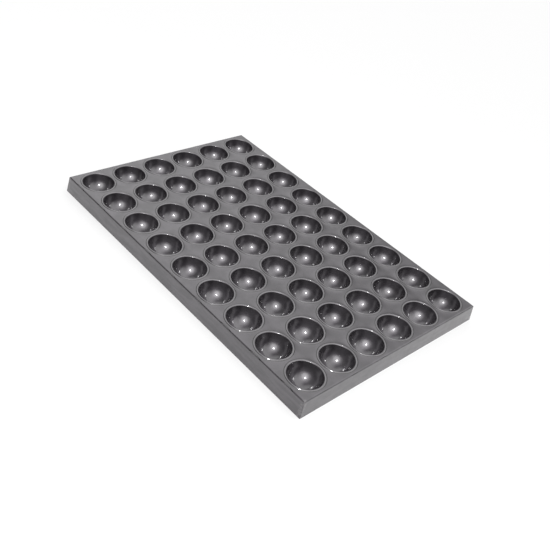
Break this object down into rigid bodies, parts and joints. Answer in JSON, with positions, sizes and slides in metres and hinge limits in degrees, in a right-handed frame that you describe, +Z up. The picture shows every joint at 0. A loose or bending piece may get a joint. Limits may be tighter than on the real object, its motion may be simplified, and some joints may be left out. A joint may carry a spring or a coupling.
{
  "type": "mini muffin pan",
  "caption": "Bakery tray for mini muffins: one coated steel sheet pressed into a grid of round domed cups, with a folded skirt.",
  "frame": {"origin": "middle of the skirt's foot, on the surface that the tray stands on", "axes": "+X along the long side, +Y along the short side, +Z up out of the cups"},
  "size_m": [0.6, 0.4, 0.03],
  "materials": {
    "coated_steel": "dark grey non-stick coating, semi-gloss"
  },
  "bodies": {
    "root": {"muffin_pan": "coated_steel"}
  },
  "joints": []
}
